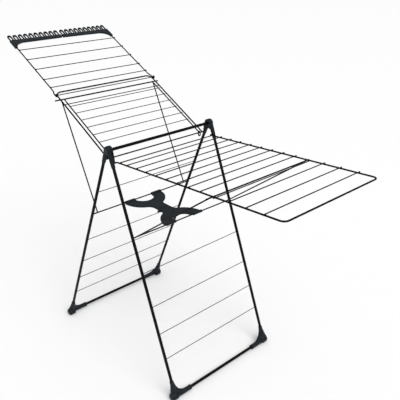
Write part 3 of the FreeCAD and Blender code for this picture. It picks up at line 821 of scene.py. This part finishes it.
piece("left_wing_pivot_rod", "left_wing",
      straight(Shape(), left_wing.at(0, -ROD_END), left_wing.at(0, ROD_END), BAR_ROD, 24),
      "black_wire")
wing = u_rod(left_wing, LEFT_START, LEFT_LENGTH, LEFT_HALF, LEFT_CORNER, FRAME_ROD)
for end in (-1, 1):
    weld(wing, left_wing.at(2.5, end * LEFT_HALF), Y, left_wing.out, 3.6, 2.6, 3.0)
piece("left_wing_frame", "left_wing", wing, "black_wire")
piece("left_wing_wire", "left_wing",
      cross_wires(left_wing, (LEFT_WIRE,), LEFT_HALF, -WIRE_RISE, WIRE), "black_wire")
pivot_past = RING_Y + EXTENSION_ROD + RING_PAST - LEFT_HALF
piece("extension_pivot_wire", "left_wing",
      cross_wires(left_wing, (EXTENSION_PIVOT,), LEFT_HALF, WIRE_RISE, WIRE, pivot_past),
      "black_wire")

piece("shelf_frame", "shelf", shelf_rod(), "black_wire")
piece("shelf_wires", "shelf",
      cross_wires(left_wing, SHELF_WIRES, SHELF_HALF, SHELF_ROD + SHELF_WIRE - WELD_SINK,
                  SHELF_WIRE, SHORT_OVERHANG), "black_wire")

for side, panel, catch, name in ((-1, left_wing, LEFT_CATCH, "left_strut"),
                                 (1, right_wing, RIGHT_CATCH, "right_strut")):
    for part, shape in zip(("crossbar", "arms", "top_bar"), strut(side, panel, catch)):
        piece(f"{name}_{part}", name, shape, "black_wire")

piece("extension_frame", "extension", extension_rod(), "black_wire")
piece("extension_wires", "extension",
      cross_wires(extension, EXTENSION_WIRES, EXTENSION_HALF,
                  EXTENSION_ROD + WIRE - WELD_SINK - RING, WIRE), "black_wire")
for end, place in ((-1, "near"), (1, "far")):
    piece(f"hanger_comb_{place}", "extension", comb(end), "dark_plastic")

piece("spreader", "spreader_lock", spreader(), "dark_plastic")


# ---- floor, light and camera -------------------------------------------------------------
def paint(name, color, roughness):
    made = bpy.data.materials.new(name)
    made.use_nodes = True
    shader = made.node_tree.nodes["Principled BSDF"]
    shader.inputs["Base Color"].default_value = (*color, 1)
    shader.inputs["Roughness"].default_value = roughness
    return made


def floor():
    half = 30.0
    mesh = bpy.data.meshes.new("floor")
    mesh.from_pydata([(-half, -half, 0), (half, -half, 0), (half, half, 0), (-half, half, 0)],
                     [], [(0, 1, 2, 3)])
    mesh.materials.append(paint("pale_floor", (0.95, 0.95, 0.95), 0.9))
    made = bpy.data.objects.new("floor", mesh)
    bpy.context.scene.collection.objects.link(made)


def sun(place, spread, strength):
    """One broad, soft light, even over the whole floor."""
    data = bpy.data.lights.new("key", "SUN")
    data.angle = math.radians(spread)
    data.energy = strength
    made = bpy.data.objects.new("key", data)
    made.location = place
    made.rotation_euler = (-Vector(place)).to_track_quat("-Z", "Y").to_euler()
    bpy.context.scene.collection.objects.link(made)


def studio():
    world = bpy.data.worlds.new("studio")
    world.use_nodes = True
    nodes = world.node_tree.nodes
    link = world.node_tree.links.new
    nodes["Background"].inputs["Color"].default_value = (1, 1, 1, 1)
    place = nodes.new("ShaderNodeTexCoord")
    height = nodes.new("ShaderNodeSeparateXYZ")
    link(place.outputs["Generated"], height.inputs["Vector"])
    glow = nodes.new("ShaderNodeMapRange")
    glow.inputs["To Min"].default_value = 0.06
    glow.inputs["To Max"].default_value = 0.80
    link(height.outputs["Z"], glow.inputs["Value"])
    seen = nodes.new("ShaderNodeLightPath")
    bright = nodes.new("ShaderNodeMath")
    bright.operation = "MAXIMUM"
    link(glow.outputs["Result"], bright.inputs[0])
    link(seen.outputs["Is Camera Ray"], bright.inputs[1])
    link(bright.outputs["Value"], nodes["Background"].inputs["Strength"])
    bpy.context.scene.world = world
    sun((2.2, -0.6, 2.6), 48.0, 2.12)
    bpy.context.scene.view_settings.view_transform = "Standard"


def camera():
    azimuth, elevation, roll = (math.radians(value) for value in (46.48, 25.35, 1.02))
    forward = Vector((-math.sin(azimuth) * math.cos(elevation),
                      math.cos(azimuth) * math.cos(elevation), -math.sin(elevation)))
    level = Vector((math.cos(azimuth), math.sin(azimuth), 0))
    upright = level.cross(forward)
    right = level * math.cos(roll) + upright * math.sin(roll)
    up = upright * math.cos(roll) - level * math.sin(roll)
    data = bpy.data.cameras.new("camera")
    data.lens = 52.47
    data.sensor_width = 36.0
    made = bpy.data.objects.new("camera", data)
    turned = Matrix((right, up, -forward)).transposed().to_4x4()
    hinge = HINGE * METRE
    made.matrix_world = Matrix.Translation((hinge.x + 1.795, -1.479, hinge.z + 0.804)) @ turned
    bpy.context.scene.collection.objects.link(made)
    bpy.context.scene.camera = made


floor()
studio()
camera()
